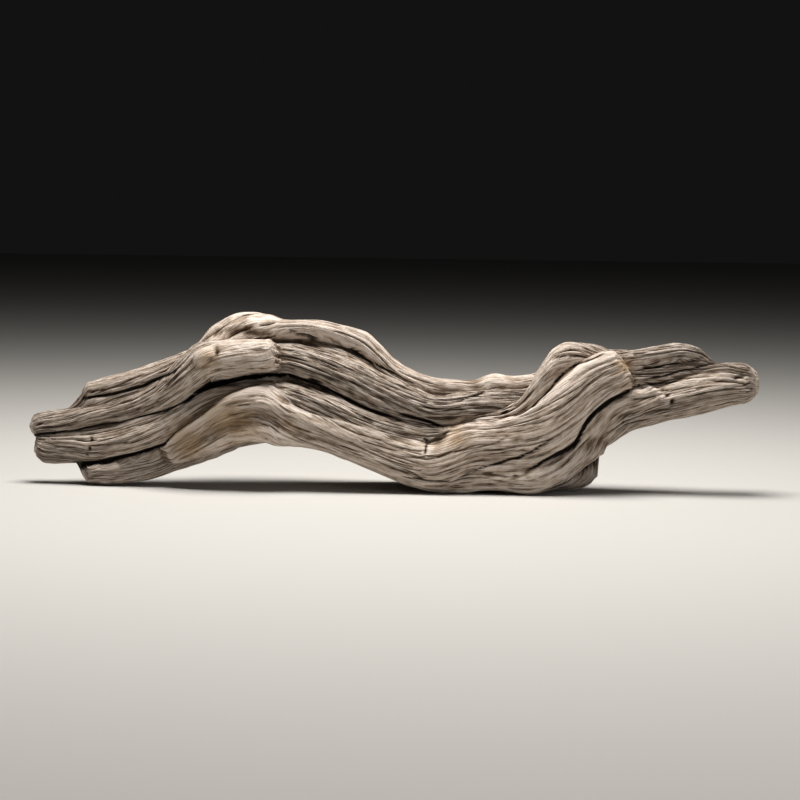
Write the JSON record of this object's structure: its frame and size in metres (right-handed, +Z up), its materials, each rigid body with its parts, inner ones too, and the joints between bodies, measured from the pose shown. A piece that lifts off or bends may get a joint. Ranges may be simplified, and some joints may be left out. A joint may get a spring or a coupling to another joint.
{
  "type": "driftwood piece",
  "caption": "Weathered piece of driftwood with an arched knuckle, split fingers at both ends and open grain, resting on worn flats as decor or a perch.",
  "frame": {"origin": "middle of the piece's box, on the surface it rests on", "axes": "+X from the forked end with the knuckle near it to the end with the long finger, +Y to the back, +Z up as it rests"},
  "size_m": [0.45, 0.0672, 0.1068],
  "materials": {
    "weathered_wood": "bare wood bleached and rounded by water, matt, dark in its cracks"
  },
  "bodies": {
    "root": {"driftwood": "weathered_wood"}
  },
  "joints": []
}
